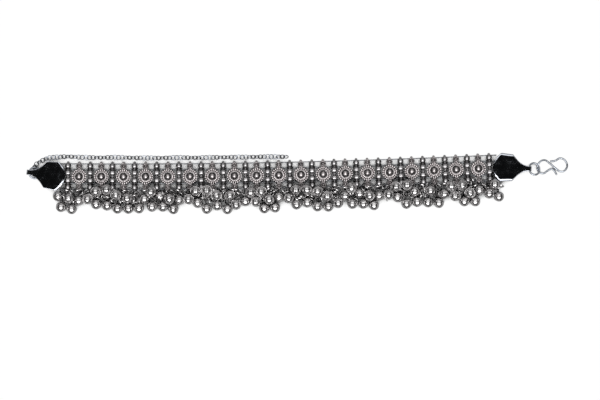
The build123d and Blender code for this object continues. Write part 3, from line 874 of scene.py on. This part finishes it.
def flower_shape(sizes):
    """One flower: a petalled disc with granules, a dome, a ring of wire and two eyelets."""
    bm = bmesh.new()
    strap_and_lugs(bm)
    # The petals are raised ribs, with a groove between each two.
    before = set(bm.verts)
    turned(bm, DISC, 3 * PETALS, closed=False)
    for vert in new_verts(bm, before):
        radius = math.hypot(vert.co.x, vert.co.y)
        step = round(math.atan2(vert.co.y, vert.co.x) / (2 * math.pi) * 3 * PETALS)
        if step % 3 == 0 and 1.9 < radius < 2.7 and vert.co.z > DISC_TOP - 0.3:
            vert.co.z -= GROOVE
    for k in range(PETALS):
        angle = 2 * math.pi * (k + 0.5) / PETALS
        at = (GRANULE_CIRCLE * math.cos(angle), GRANULE_CIRCLE * math.sin(angle), DISC_TOP - 0.12)
        ball(bm, sizes.granule / MM, moved(*at) @ Matrix.Diagonal((1, 1, 0.65, 1)), 10, 7)
    wire_ring(bm, FLOWER_RING_RADIUS, sizes.flower_wire / MM, 40, 8, moved(z=DISC_TOP))
    ball(bm, sizes.dome / MM, moved(z=DOME_Z))
    for side in (1, -1):
        turned(bm, EYELET, 24, moved(0, side * EYELET_Y), closed=False)

    def tarnish_and_shade(at):
        radius = math.hypot(at.x, at.y)
        if abs(at.y) > OUTER_RAIL + 0.1:
            return 0.0
        if radius > 3.57 or at.z < 1.3:
            return below(at, 2.62, 0.45)
        # The dome is black round its top: painted shade round its highlight.
        if radius < 1.55:
            return below(at, 3.3, 0.3)
        # The wire ring and the hollow round the dome are set dark all over, raised wire and all.
        if radius < 1.9:
            return 0.8
        if radius < 2.55:
            return below(at, 2.42, 0.1)
        return below(at, 2.3, 0.2)

    tarnished_and_shaded(bm, tarnish_and_shade)
    return shaped("flower", bm)


def place_units(name, node_name, template, first, material):
    """Copy a unit's shape to every second place along the band."""
    for order, k in enumerate(range(first, UNITS, 2), 1):
        mesh = template.copy()
        mesh.transform(band_matrix(spaced(k, UNITS)))
        piece(f"{name}_{order:02d}", mesh, material, f"{node_name}_{order:02d}")
    bpy.data.meshes.remove(template)


def level_at(table, out):
    """Height from a table of distances and heights."""
    return float(np.interp(out, *zip(*table)))


def cap_section(half, rounding):
    """One section across a cap, as (across, share of height, rise from that level)."""
    quarter = [math.pi / 2 * i / ROUND_STEPS for i in range(ROUND_STEPS + 1)]
    run = half - rounding
    edge = [
        (half - rounding * (1 - math.cos(a)), 1, -rounding * (1 - math.sin(a))) for a in quarter
    ]
    flat = [(run - 2 * run * i / FLAT_STEPS, 1, 0.0) for i in range(1, FLAT_STEPS)]
    top = edge + flat + [(-across, level, rise) for across, level, rise in reversed(edge)]
    return top + [(-across, 0, -rise) for across, level, rise in top]


def cap_loop(out, half, inset, bow, rounding):
    """The points of one section, set in from the skin and bowed to the mouth."""
    half -= inset
    # The edges are rounded at the mouth and crisp along the shank.
    rounding *= float(np.interp(out, (8.0, 10.0), (1.0, 0.3)))
    middle_height = level_at(CAP_TOP, out) - level_at(CAP_BACK, out) - 2 * inset
    rounding = min(max(rounding - inset, 0.15), 0.48 * middle_height, 0.9 * half)
    loop = []
    for y, level, rise in cap_section(half, rounding):
        x = out + bow * (y / CAP_CORNER[1]) ** 2
        z = level_at(CAP_TOP, x) - inset if level else level_at(CAP_BACK, x) + inset
        loop.append((x, y, z + rise))
    return loop


def cap_sections():
    """Sections of a cap from inside its mouth to its shank, as (out, half-width, inset, bow)."""
    shoulder_x, shoulder_y = CAP_SHOULDER
    corner_x, corner_y = CAP_CORNER
    sections = [
        (depth, corner_y - 0.08 * depth, 0.6, corner_x * (1 - depth / shoulder_x))
        for depth in MOUTH_DEPTHS
    ]
    sections += [(out, corner_y, inset, corner_x) for out, inset in MOUTH_LIP]
    for step in range(1, SHOULDER_STEPS + 1):
        share = step / SHOULDER_STEPS
        half = corner_y + (shoulder_y - corner_y) * share
        sections.append((shoulder_x * share, half, 0.0, corner_x * (1 - share)))
    return sections + [(out, half, 0.0, 0.0) for out, half in CAP_HALF_WIDTHS]


def cap_shape(rounding):
    """A sheet folded into a flat mouth that narrows to a rolled eye."""
    bm = bmesh.new()
    count = len(cap_section(1.0, 0.1))
    ring = bmesh.ops.create_circle(bm, segments=count, radius=1)["verts"]
    edges = list({edge for vert in ring for edge in vert.link_edges})
    for number, section in enumerate(cap_sections()):
        if number:
            grown = bmesh.ops.extrude_edge_only(bm, edges=edges)["geom"]
            earlier = set(ring)
            edges = [item for item in grown if isinstance(item, bmesh.types.BMEdge)
                     and not earlier.intersection(item.verts)]
            partner = {
                edge.other_vert(vert): vert
                for vert in grown if isinstance(vert, bmesh.types.BMVert)
                for edge in vert.link_edges if edge.other_vert(vert) in earlier
            }
            ring = [partner[vert] for vert in ring]
        for vert, point in zip(ring, cap_loop(*section, rounding)):
            vert.co = point
    bmesh.ops.holes_fill(bm, edges=[edge for edge in bm.edges if edge.is_boundary])
    # Two round dents near the mouth's corners.
    for vert in bm.verts:
        for side in (1, -1):
            away = math.hypot(vert.co.x - DENT_AT[0], vert.co.y - side * DENT_AT[1])
            if away < DENT_RADIUS and vert.co.z > CAP_HEIGHT - 0.5:
                vert.co.z -= DENT_DEPTH * (1 - (away / DENT_RADIUS) ** 2)
    turned(bm, CURL, 28, moved(CURL_X, 0, CURL_Z, "X"))
    return shaped("cap", bm)


def swept_wire(name, path, radius, smooth_order=0):
    """A round wire along points in millimetres, as a mesh.

    With no order the wire goes through its points; with one, they pull it as a NURBS does.
    """
    curve = bpy.data.curves.new(name, "CURVE")
    curve.dimensions = "3D"
    curve.bevel_depth = radius
    curve.bevel_resolution = 3
    curve.use_fill_caps = True
    spline = curve.splines.new("NURBS" if smooth_order else "BEZIER")
    points = spline.points if smooth_order else spline.bezier_points
    points.add(len(path) - 1)
    for point, at in zip(points, path):
        if smooth_order:
            point.co = (*at, 1)
        else:
            point.co = at
            point.handle_left_type = point.handle_right_type = "AUTO"
    if smooth_order:
        spline.order_u = smooth_order
        spline.use_endpoint_u = True
    spline.resolution_u = 8
    holder = bpy.data.objects.new(name, curve)
    mesh = bpy.data.meshes.new_from_object(holder)
    bpy.data.objects.remove(holder)
    bpy.data.curves.remove(curve)
    return mesh


def bell_shape(sizes):
    """One ghungroo bell about its own centre, its eye up: two half shells, a rim, crossed slots."""
    radius, rim = sizes.bell / MM, sizes.rim / MM
    bm = bmesh.new()
    ball(bm, radius, Matrix(), 28, 16)
    for axis, offset in (
        ("X", SLOT_HALF), ("X", -SLOT_HALF), ("Y", SLOT_HALF), ("Y", -SLOT_HALF), ("Z", SLOT_TOP)
    ):
        normal = Vector([float(axis == other) for other in "XYZ"])
        everything = bm.verts[:] + bm.edges[:] + bm.faces[:]
        bmesh.ops.bisect_plane(
            bm, geom=everything, dist=0.0001, plane_co=offset * normal, plane_no=normal
        )
    slot = []
    for face in bm.faces:
        middle = face.calc_center_median()
        if middle.z < SLOT_TOP and min(abs(middle.x), abs(middle.y)) < SLOT_HALF:
            slot.append(face)
    bmesh.ops.delete(bm, geom=slot, context="FACES")
    closed_up(bm)
    bmesh.ops.solidify(bm, geom=bm.faces[:], thickness=BELL_WALL)
    turned(bm, mirrored([(radius - 0.15, -0.14), (rim - 0.05, -0.14), (rim, -0.08)]), 28)
    wire_ring(bm, EYE_RADIUS, EYE_WIRE, 12, 6, moved(z=BELL_EYE, axis="X"))

    # Black inside the shell and along the slots: sulphide in these hollows. The darkening beside
    # the rim and towards the eye is sulphide in the seam and at the eye, and also painted shade for
    # the dark band round each bell.
    def tarnish_and_shade(at):
        distance = at.length
        if distance < radius - 0.05 and at.z < 2.0:
            return 1.0
        if distance > radius + 0.06:
            return 0.0 if at.z < 2.0 else 0.35
        beside_rim = max(0.0, 1 - (abs(at.z) - 0.12) / 0.35)
        near_eye = (at.z - 1.35) / 0.8
        near_slot = 0.0
        if at.z < SLOT_TOP + 0.2:
            near_slot = 0.8 - (min(abs(at.x), abs(at.y)) - SLOT_HALF) / 0.12
        return max(0.9 * beside_rim, near_eye, near_slot)

    tarnished_and_shaded(bm, tarnish_and_shade)
    return shaped("bell", bm, merge=False)


def ring_shape(sizes):
    """One small jump ring about its own centre."""
    bm = bmesh.new()
    wire_ring(bm, LOOP_RADIUS, sizes.ring_wire / MM, 14, 6)
    # Wear has rubbed the outside of the wire; the black inside, towards the ring's middle, is
    # painted shade between the rings' bright arcs.
    tarnished_and_shaded(bm, lambda at: 0.45 + (LOOP_RADIUS - at.length) / LOOP_WIRE)
    return shaped("ring", bm)


def walk(points, pitch):
    """Equally spaced points along a line, each with its direction there."""
    found, gone, wanted = [], 0.0, 0.0
    for start, end in zip(points, points[1:]):
        run = (end - start).length
        while run and wanted <= gone + run:
            found.append((start.lerp(end, (wanted - gone) / run), (end - start) / run))
            wanted += pitch
        gone += run
    return found


def hook_ring_matrix():
    """Place of the oval ring between the cap and the S-hook."""
    reach = HOOK_RING["reach"]
    curl_x = cap_point(CAP_RIGHT, CURL_X, 0)[0]
    ring_y = cap_point(CAP_RIGHT, CURL_X + reach, 0)[1]
    normal = Vector((-HOOK_RING["fall_x"], -HOOK_RING["fall_y"], 1))
    along = Vector((1, 0, HOOK_RING["fall_x"]))
    return frame_of((curl_x + reach, ring_y, HOOK_RING["z"]), along, normal.cross(along))


def chain_ring_matrix():
    """Place of the round ring between the other cap and the chain."""
    turn = math.radians(CHAIN_RING["turn"])
    inward = Vector((math.cos(turn), math.sin(turn), CHAIN_RING["slope"]))
    curl = Vector((*cap_point(CAP_LEFT, CURL_X, 0), CURL_Z))
    normal = Vector((-inward.x * inward.z, -inward.y * inward.z, 1))
    return frame_of(curl + CHAIN_RING["reach"] * inward, inward, normal.cross(inward))


# ---- operators

class PAYAL_OT_bead_columns(bpy.types.Operator):
    """Build the twenty bead columns"""

    bl_idname = "payal.bead_columns"
    bl_label = "Bead columns"

    def execute(self, context):
        colours = context.scene.payal_colours
        finish = silver(
            "oxidised_cast_silver", colours.bead, colours.tarnish_and_shade,
            smooth=0.24, rough=0.45, grain=0.3, cloud=0.9, relief=0.03,
        )
        shape = column_shape(context.scene.payal_sizes)
        place_units("cast_column", "bead_column", shape, 0, finish)
        return {"FINISHED"}


class PAYAL_OT_flowers(bpy.types.Operator):
    """Build the nineteen flowers"""

    bl_idname = "payal.flowers"
    bl_label = "Flowers"

    def execute(self, context):
        colours = context.scene.payal_colours
        finish = silver(
            "oxidised_granulated_silver", colours.flower, colours.tarnish_and_shade,
            smooth=0.28, rough=0.5, grain=0.25, cloud=0.7, relief=0.03,
        )
        shape = flower_shape(context.scene.payal_sizes)
        place_units("granule_flower", "flower", shape, 1, finish)
        return {"FINISHED"}


class PAYAL_OT_end_caps(bpy.types.Operator):
    """Build the two folded end caps"""

    bl_idname = "payal.end_caps"
    bl_label = "End caps"

    def execute(self, context):
        plate = context.scene.payal_colours.plate
        finish = mirror_plate("mirror_polished_silver_sheet", plate, 0.04)
        for side, cap, turn, rounding in (
            ("chain_side", CAP_LEFT, math.pi - math.radians(CAP_LEFT["tilt"]), 0.15),
            ("hook_side", CAP_RIGHT, math.radians(CAP_RIGHT["tilt"]), 0.9),
        ):
            mesh = cap_shape(rounding)
            mesh.transform(moved(*cap["mouth"], 0, "Z", turn))
            piece(f"folded_cap_{side}", mesh, finish, f"end_cap_{side}", sharp=50)
        return {"FINISHED"}


class PAYAL_OT_wires(bpy.types.Operator):
    """Build the four wires that the units are threaded on"""

    bl_idname = "payal.wires"
    bl_label = "Threading wires"

    def execute(self, context):
        threading = context.scene.payal_colours.threading
        finish = drawn_wire("dull_drawn_silver", threading, [0.4 * c for c in threading], 0.35)
        for edge, across, half in (
            ("upper_outer", OUTER_RAIL, OUTER_RAIL_HALF),
            ("upper_inner", INNER_RAIL, INNER_RAIL_HALF),
            ("lower_inner", -INNER_RAIL, INNER_RAIL_HALF),
            ("lower_outer", -OUTER_RAIL, OUTER_RAIL_HALF),
        ):
            bm = bmesh.new()
            start = band_matrix(-half) @ moved(0, across, RAIL_Z, "Y")
            made = bmesh.ops.create_circle(bm, segments=8, radius=RAIL_RADIUS, matrix=start)
            edges = list({item for vert in made["verts"] for item in vert.link_edges})
            bmesh.ops.spin(
                bm, geom=made["verts"] + edges, cent=(*on_band(0, BAND_RADIUS), 0),
                axis=(0, 0, 1), dvec=(0, 0, 0), angle=2 * half / BAND_RADIUS, steps=40,
            )
            bmesh.ops.holes_fill(bm, edges=[item for item in bm.edges if item.is_boundary])
            wire = shaped("wire", bm)
            piece(f"threading_wire_{edge}", wire, finish, f"wire_{edge}")
        return {"FINISHED"}


def bright_wire(context):
    """The finish of the clasp's drawn wire, made once."""
    colours = context.scene.payal_colours
    found = bpy.data.materials.get("bright_drawn_silver")
    return found or drawn_wire("bright_drawn_silver", colours.wire, colours.film, 0.22)


class PAYAL_OT_clasp_rings(bpy.types.Operator):
    """Build the ring at the S-hook and the ring at the chain"""

    bl_idname = "payal.clasp_rings"
    bl_label = "Clasp rings"

    def execute(self, context):
        finish = bright_wire(context)
        reach, half = HOOK_RING["reach"], HOOK_RING["half"]
        for name, radius, stretch, place, node_name in (
            ("oval_clasp_ring", reach, half / reach, hook_ring_matrix(), "hook_ring"),
            ("round_chain_ring", CHAIN_RING["radius"], 1, chain_ring_matrix(), "chain_ring"),
        ):
            bm = bmesh.new()
            wire_ring(bm, radius, RING_WIRE, 40, 12)
            mesh = shaped(name, bm)
            mesh.transform(place @ Matrix.Diagonal((1, stretch, 1, 1)))
            piece(name, mesh, finish, node_name)
        return {"FINISHED"}


class PAYAL_OT_s_hook(bpy.types.Operator):
    """Build the S-hook"""

    bl_idname = "payal.s_hook"
    bl_label = "S-hook"

    def execute(self, context):
        radius = context.scene.payal_sizes.clasp_wire / MM
        path = [(HOOK_CROSSING[0] + x, HOOK_CROSSING[1] + y, z) for x, y, z in HOOK_PATH]
        wire = swept_wire("hook", path, radius)
        bm = bmesh.new()
        bm.from_mesh(wire)
        bpy.data.meshes.remove(wire)
        for end in (path[0], path[-1]):
            ball(bm, radius, moved(*end), 12, 8)
        piece("bent_wire_hook", shaped("hook", bm), bright_wire(context), "s_hook")
        return {"FINISHED"}


class PAYAL_OT_chain(bpy.types.Operator):
    """Build the extension chain, link by link"""

    bl_idname = "payal.chain"
    bl_label = "Extension chain"

    def execute(self, context):
        ring_centre = chain_ring_matrix().translation
        first = (ring_centre.x, ring_centre.y + CHAIN_RING["radius"] + LINK_REST)
        route = [(*point, CHAIN_RADIUS) for point in (first, *CHAIN_ROUTE)]
        line = swept_wire("chain route", route, 0.0, 3)
        points = [vert.co.copy() for vert in line.vertices]
        bpy.data.meshes.remove(line)
        bm = bmesh.new()
        template = bmesh.new()
        wire_ring(template, LINK_RADIUS, context.scene.payal_sizes.link_wire / MM, 14, 6)
        link = shaped("link", template)
        for number, (at, along) in enumerate(walk(points, LINK_PITCH)):
            # Links lean to one side and the other by turns.
            roll = 0.28 * math.sin(2.4 * number) + (0.5 if number % 2 else -0.65)
            level = Vector((-along.y, along.x, 0))
            across = math.cos(roll) * level + math.sin(roll) * Vector((0, 0, 1))
            joined(bm, link, frame_of(at, along, across))
        mesh = shaped("chain", bm, merge=False)
        film = context.scene.payal_colours.film
        finish = drawn_wire("worn_chain_silver", film, [0.5 * c for c in film], 0.2)
        piece("linked_chain", mesh, finish, "extension_chain")
        return {"FINISHED"}


class PAYAL_OT_bell_drops(bpy.types.Operator):
    """Let the bells come to rest and build them with their jump rings"""

    bl_idname = "payal.bell_drops"
    bl_label = "Bell drops"

    def execute(self, context):
        sizes, colours = context.scene.payal_sizes, context.scene.payal_colours
        finish = silver(
            "oxidised_spun_silver", colours.bell, colours.tarnish_and_shade,
            smooth=0.13, rough=0.4, grain=0.35, cloud=1.6, relief=0.01,
        )
        bell, ring = bell_shape(sizes), ring_shape(sizes)
        points, ring_of_short = settle_drops()
        laid = lie_of_rings(points, ring_of_short)
        for group in range(DROPS // DROPS_PER_NODE):
            bm = bmesh.new()
            for k in range(group * DROPS_PER_NODE, (group + 1) * DROPS_PER_NODE):
                for lie in laid[k]:
                    joined(bm, ring, frame_of(*lie))
                last = DROP_POINTS * (k + 1)
                eyes, bells = points[last - 4 : last - 2], points[last - 2 : last]
                for centre, eye, hung_on in zip(bells, eyes, (ring_of_short[k], 2)):
                    # The eye stands square to the jump ring that goes through it.
                    axis = (Vector(eye) - Vector(centre)).normalized()
                    square = Vector(laid[k][hung_on][2]).cross(axis)
                    joined(bm, bell, frame_of(centre, square, axis.cross(square)))
            mesh = shaped("drops", bm, merge=False)
            label = f"{group + 1:02d}"
            piece(f"ghungroo_drops_{label}", mesh, finish, f"bell_drops_{label}")
        return {"FINISHED"}


# ---- stage

# The view is in millimetres, and the floor and the lamps are in metres.
VIEW_MIDDLE = (1.26, -7.77, 2.0)
VIEW_WIDTH = 273.6
LENS = 135.0
SENSOR = 36.0
FLOOR_HALF = 3.0
FLOOR_DROP = 0.00005
BOARD_GLOW = 1.0
GLOSSY_SHARE = 0.4  # how much of the board's glow the metal shows
# Within this reach, metal dims the board's glow: a painted shadow.
PAINTED_SHADOW_REACH = 8.0  # millimetres within which metal closes the board in
HORIZON_GLOW = 0.7
WALL_GLOW = 0.005
ROOF_GLOW = 1.35
SLIT_HALF = (1.2, 0.17)
SOFT_BOXES = (
    # name, tilt from overhead, distance, size, watts
    ("key_soft_box", -30.0, 0.9, (1.1, 0.8), 6.0),
    ("fill_soft_box", 62.0, 1.1, (1.6, 1.0), 1.6),
)


def soft_box(name, place, aim, size, watts):
    """A soft oval lamp aimed at a point."""
    lamp = bpy.data.lights.new(name, "AREA")
    lamp.shape = "ELLIPSE"
    lamp.size, lamp.size_y = size
    lamp.energy = watts
    holder = shown(name, lamp)
    holder.location = place
    holder.rotation_euler = (Vector(aim) - Vector(place)).to_track_quat("-Z", "Y").to_euler()


def light_tent():
    """A pale horizon, dark walls and a soft white roof with a dark slit for the camera."""
    world = bpy.data.worlds.new("light_tent")
    bpy.context.scene.world = world
    tree = fresh_tree(world)
    heading = add_node(tree, "TexCoord", "Generated")
    height = add_node(tree, "SeparateXYZ", "Z", {"Vector": heading})
    # The slit runs along x, so that the long slopes of the caps reflect it as well as their flats.
    slit = add_node(
        tree, "VectorMath", "Vector", {0: heading, 1: (1 / SLIT_HALF[0], 1 / SLIT_HALF[1], 0.0)},
        operation="MULTIPLY",
    )
    beyond = add_node(tree, "VectorMath", "Value", {0: slit}, operation="LENGTH")
    fall, roof, roof_part = [
        add_node(
            tree, "MapRange", "Result",
            {"Value": value, "From Min": start, "From Max": end, "To Min": low, "To Max": high},
            interpolation_type="SMOOTHSTEP",
        )
        for value, start, end, low, high in (
            (height, 0.0, 0.16, HORIZON_GLOW, WALL_GLOW),
            (height, 0.55, 0.85, 0.0, ROOF_GLOW),
            (beyond, 0.85, 1.15, 0.0, 1.0),
        )
    ]
    light = add_node(
        tree, "Math", "Value", {0: roof, 1: roof_part, 2: fall}, operation="MULTIPLY_ADD"
    )
    to_camera = add_node(tree, "LightPath", "Is Camera Ray")
    white = add_node(tree, "Math", "Value", {0: light, 1: to_camera}, operation="MAXIMUM")
    sky = add_node(tree, "Background", "Background", {"Color": white})
    add_node(tree, "OutputWorld", inputs={"Surface": sky})


def white_floor(colour):
    """Matt board that glows white where it is open and is dark where the metal closes it in: its
    glow fades with ambient occlusion, a painted shadow.
    """
    material = bpy.data.materials.new("matt_white_board")
    tree = fresh_tree(material)
    # Ambient occlusion dims the glow under and between the parts: painted shadow.
    openness_for_painted_shadow = add_node(
        tree, "AmbientOcclusion", "AO", {"Distance": PAINTED_SHADOW_REACH * MM}, samples=8
    )
    level = add_node(tree, "MapRange", "Result", {
        "From Min": 0.3, "From Max": 0.42, "To Max": BOARD_GLOW, "Value": openness_for_painted_shadow,
    })
    path = add_node(tree, "LightPath").outputs
    seen = add_node(
        tree, "Math", "Value",
        {0: path["Is Glossy Ray"], 1: GLOSSY_SHARE, 2: path["Is Camera Ray"]},
        operation="MULTIPLY_ADD",
    )
    lift = add_node(tree, "Math", "Value", {0: seen, 1: level}, operation="MULTIPLY")
    return surfaced(material, {
        "Base Color": (*colour, 1), "Roughness": 0.9, "Specular IOR Level": 0.0,
        "Emission Color": (1, 1, 1, 1), "Emission Strength": lift,
    })


class PAYAL_OT_stage(bpy.types.Operator):
    """Make the floor, the lamps, the world and the camera"""

    bl_idname = "payal.stage"
    bl_label = "Stage"

    def execute(self, context):
        scene = context.scene
        bm = bmesh.new()
        place = moved(z=-FLOOR_DROP)
        bmesh.ops.create_grid(bm, x_segments=1, y_segments=1, size=FLOOR_HALF, matrix=place)
        mesh = bpy.data.meshes.new("floor")
        bm.to_mesh(mesh)
        bm.free()
        mesh.materials.append(white_floor(scene.payal_colours.floor))
        floor = shown("floor", mesh)
        light_tent()
        x, y, z = middle = [value * MM for value in VIEW_MIDDLE]
        for name, tilt, distance, size, watts in SOFT_BOXES:
            turn = math.radians(tilt)
            place = (x, y + distance * math.sin(turn), distance * math.cos(turn))
            soft_box(name, place, middle, size, watts)
        camera = bpy.data.cameras.new("overhead")
        camera.lens, camera.sensor_width = LENS, SENSOR
        camera.clip_end = 20.0
        scene.camera = shown("overhead", camera)
        scene.camera.location = (x, y, z + VIEW_WIDTH * MM * LENS / SENSOR)
        scene.view_settings.view_transform = "Standard"
        return {"FINISHED"}


class PAYAL_PT_panel(bpy.types.Panel):
    """Lists the anklet's settings and its building steps"""

    bl_idname = "PAYAL_PT_panel"
    bl_label = "Payal Anklet"
    bl_space_type = "VIEW_3D"
    bl_region_type = "UI"
    bl_category = "Payal"

    def draw(self, context):
        for group in (context.scene.payal_sizes, context.scene.payal_colours):
            column = self.layout.column(align=True)
            for name in type(group).__annotations__:
                column.prop(group, name)
        column = self.layout.column()
        for step in STEPS:
            column.operator(step.bl_idname)


STEPS = (
    PAYAL_OT_stage,
    PAYAL_OT_wires,
    PAYAL_OT_bead_columns,
    PAYAL_OT_flowers,
    PAYAL_OT_end_caps,
    PAYAL_OT_clasp_rings,
    PAYAL_OT_s_hook,
    PAYAL_OT_chain,
    PAYAL_OT_bell_drops,
)
CLASSES = (PayalSizes, PayalColours, *STEPS, PAYAL_PT_panel)


def register():
    for kind in CLASSES:
        bpy.utils.register_class(kind)
    bpy.types.Scene.payal_sizes = bpy.props.PointerProperty(type=PayalSizes)
    bpy.types.Scene.payal_colours = bpy.props.PointerProperty(type=PayalColours)


def unregister():
    del bpy.types.Scene.payal_colours
    del bpy.types.Scene.payal_sizes
    for kind in reversed(CLASSES):
        bpy.utils.unregister_class(kind)


def main():
    register()
    bpy.ops.payal.stage()
    bpy.ops.payal.wires()
    bpy.ops.payal.bead_columns()
    bpy.ops.payal.flowers()
    bpy.ops.payal.end_caps()
    bpy.ops.payal.clasp_rings()
    bpy.ops.payal.s_hook()
    bpy.ops.payal.chain()
    bpy.ops.payal.bell_drops()


if __name__ == "__main__":
    main()
